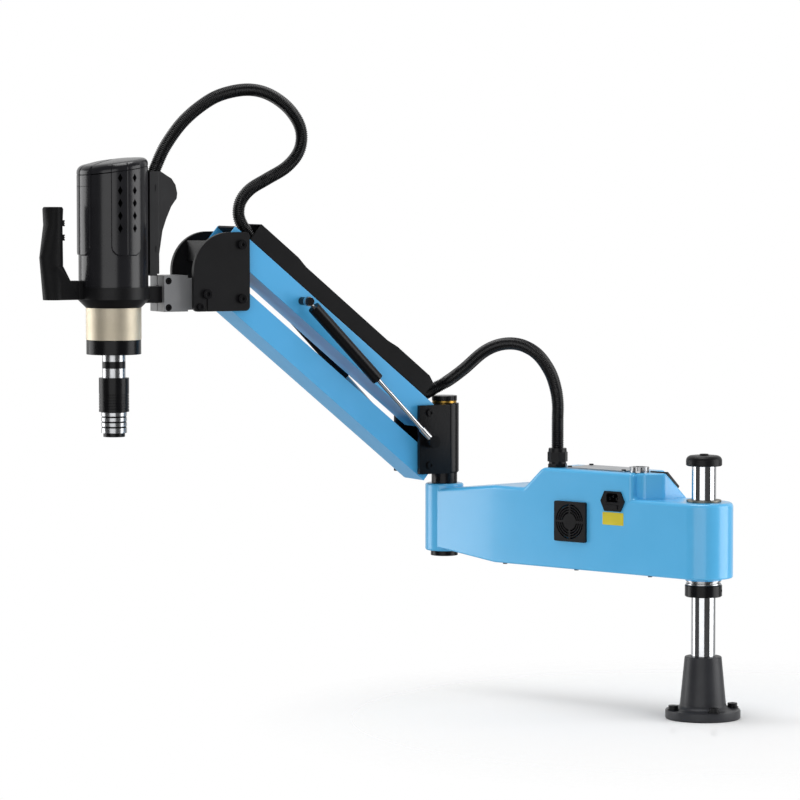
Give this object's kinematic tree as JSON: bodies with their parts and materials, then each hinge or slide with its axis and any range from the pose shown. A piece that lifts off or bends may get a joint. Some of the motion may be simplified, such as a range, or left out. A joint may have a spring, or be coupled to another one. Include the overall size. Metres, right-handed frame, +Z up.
{
  "type": "arm tapping machine",
  "caption": "Column-mounted tapping machine with a swinging first arm, a gas-sprung parallel second arm and a tilting motor head with a quick-change tap chuck and side handle.",
  "frame": {"origin": "column axis at the underside of the base flange", "axes": "+Z up along the column; -X along the first arm towards the elbow; -Y is the side with the fan and inlet"},
  "size_m": [0.8975, 0.7697, 1.0616],
  "materials": {
    "blue_enamel": "glossy light blue enamel on a casting and folded steel",
    "black_steel": "black oxide and satin black paint on steel",
    "cast_iron": "dark grey satin paint over cast iron",
    "chrome": "ground and hard-chromed, mirror bright",
    "steel": "turned and ground steel",
    "brass": "turned bearing bronze",
    "champagne": "champagne anodised aluminium, fine turned",
    "grey_plate": "brushed grey aluminium sheet",
    "black_plastic": "matt black moulded plastic",
    "label": "plain yellow vinyl plate",
    "screen": "glossy dark panel",
    "conduit": "satin black corrugated nylon"
  },
  "bodies": {
    "base": {"column_base": "cast_iron", "base_bolts": "black_steel", "column": "chrome", "column_cap": "black_steel"},
    "collar": {"stop_collar": "black_steel", "collar_screw": "black_steel", "thrust_bearing": "steel"},
    "first_arm": {"arm_housing": "blue_enamel", "column_bushes": "champagne", "top_cover": "grey_plate", "bottom_cover": "black_steel", "cover_screws": "black_steel", "control_panel": "black_plastic", "touch_screen": "screen", "signal_socket": "chrome", "fan_guard": "black_plastic", "fan_frame": "black_plastic", "power_inlet": "black_plastic", "blank_label": "label", "cable_gland": "black_plastic", "servo_drive": "black_steel", "power_supply": "grey_plate", "elbow_pin": "black_steel", "brass_washer": "brass", "elbow_nut": "black_steel", "arm_conduit": "conduit"},
    "fan": {"fan_impeller": "black_plastic"},
    "fuse": {"fuse_drawer": "black_plastic"},
    "elbow": {"elbow_block": "black_steel", "elbow_bushes": "brass", "rear_pivot_pins": "black_steel"},
    "upper": {"upper_link": "blue_enamel", "upper_bushes": "brass", "cable_cover": "black_plastic", "link_studs": "black_steel", "head_conduit": "conduit"},
    "lower": {"lower_link": "blue_enamel", "lower_bushes": "brass"},
    "springs": {"gas_cylinders": "black_steel"},
    "rods": {"gas_rods": "chrome"},
    "bracket": {"head_bracket_plates": "black_steel", "bracket_spacer": "black_steel", "front_pivot_pins": "black_steel", "tilt_bolts": "black_steel"},
    "tilt": {"tilt_block": "cast_iron", "clamp_screws": "black_steel"},
    "head": {"head_frame": "black_steel", "motor": "black_steel", "motor_cover": "black_plastic", "cable_fin": "black_plastic", "gearbox_ring": "champagne", "lower_ring": "black_steel", "spindle_bearings": "steel", "handle_arm": "black_steel", "handle_grip": "black_plastic"},
    "spindle": {"spindle": "steel"},
    "sleeve": {"chuck_sleeve": "black_steel"},
    "adapter": {"tap_adapter": "steel"},
    "upper_button": {"button_upper": "black_plastic"},
    "lower_button": {"button_lower": "black_plastic"}
  },
  "joints": [
    {"name": "column_lift", "type": "slide", "parent": "base", "child": "collar", "axis": [0, 0, -1], "range_m": [-0.05, 0.095]},
    {"name": "arm1_swing", "type": "hinge", "parent": "collar", "child": "first_arm", "pos_m": [0, 0, 0.231], "axis": [0, 0, 1], "continuous": true},
    {"name": "fan_spin", "type": "hinge", "parent": "first_arm", "child": "fan", "pos_m": [-0.24, -0.048, 0.311], "axis": [0, 1, 0], "continuous": true},
    {"name": "fuse_slide", "type": "slide", "parent": "first_arm", "child": "fuse", "axis": [0, -1, 0], "range_m": [0, 0.012]},
    {"name": "elbow_swing", "type": "hinge", "parent": "first_arm", "child": "elbow", "pos_m": [-0.5633, 0, 0.3751], "axis": [0, 0, 1], "range_deg": [-190, 50], "deforming": ["arm_conduit"]},
    {"name": "arm_lift", "type": "hinge", "parent": "elbow", "child": "upper", "pos_m": [-0.58177, -0.05074, 0.4801], "axis": [-0.9397, 0.342, 0], "range_deg": [-58, 5], "deforming": ["arm_conduit", "head_conduit"]},
    {"name": "lower_follow", "type": "hinge", "parent": "elbow", "child": "lower", "pos_m": [-0.58177, -0.05074, 0.3901], "axis": [-0.9397, 0.342, 0], "range_deg": [-58.5, 5.5]},
    {"name": "bracket_level", "type": "hinge", "parent": "upper", "child": "bracket", "pos_m": [-0.70352, -0.38524, 0.77146], "axis": [-0.9397, 0.342, 0], "range_deg": [-5.5, 58.5], "deforming": ["head_conduit"]},
    {"name": "spring_pivot", "type": "hinge", "parent": "upper", "child": "springs", "pos_m": [-0.66329, -0.27471, 0.67518], "axis": [-0.9397, 0.342, 0], "range_deg": [-0.5, 4]},
    {"name": "rod_slide", "type": "slide", "parent": "springs", "child": "rods", "axis": [0.239, 0.6565, -0.7155], "range_m": [-0.045, 0.005]},
    {"name": "head_tilt", "type": "hinge", "parent": "bracket", "child": "tilt", "pos_m": [-0.72541, -0.44538, 0.69005], "axis": [-0.9397, 0.342, 0], "range_deg": [0, 45], "deforming": ["head_conduit"]},
    {"name": "head_roll", "type": "hinge", "parent": "tilt", "child": "head", "pos_m": [-0.77602, -0.58446, 0.69005], "axis": [-0.342, -0.9397, 0], "range_deg": [-90, 90], "deforming": ["head_conduit"]},
    {"name": "spindle_spin", "type": "hinge", "parent": "head", "child": "spindle", "pos_m": [-0.77602, -0.58446, 0.59206], "axis": [0, 0, 1], "continuous": true},
    {"name": "sleeve_slide", "type": "slide", "parent": "spindle", "child": "sleeve", "axis": [0, 0, 1], "range_m": [0, 0.008], "stiffness_N_per_m": 1000, "springref_m": -0.008},
    {"name": "adapter_slide", "type": "slide", "parent": "spindle", "child": "adapter", "axis": [0, 0, -1], "range_m": [0, 0.045]},
    {"name": "button_upper_press", "type": "slide", "parent": "head", "child": "upper_button", "axis": [-0.342, -0.9397, 0], "range_m": [0, 0.003], "stiffness_N_per_m": 500, "springref_m": -0.003},
    {"name": "button_lower_press", "type": "slide", "parent": "head", "child": "lower_button", "axis": [-0.342, -0.9397, 0], "range_m": [0, 0.003], "stiffness_N_per_m": 500, "springref_m": -0.003}
  ],
  "couplings": [
    {"joint": "lower_follow", "follows": "arm_lift", "ratio": 1},
    {"joint": "bracket_level", "follows": "arm_lift", "ratio": -1},
    {"joint": "spring_pivot", "follows": "arm_lift", "ratio": -0.05735},
    {"joint": "rod_slide", "follows": "arm_lift", "m_per_rad": 0.043373}
  ]
}
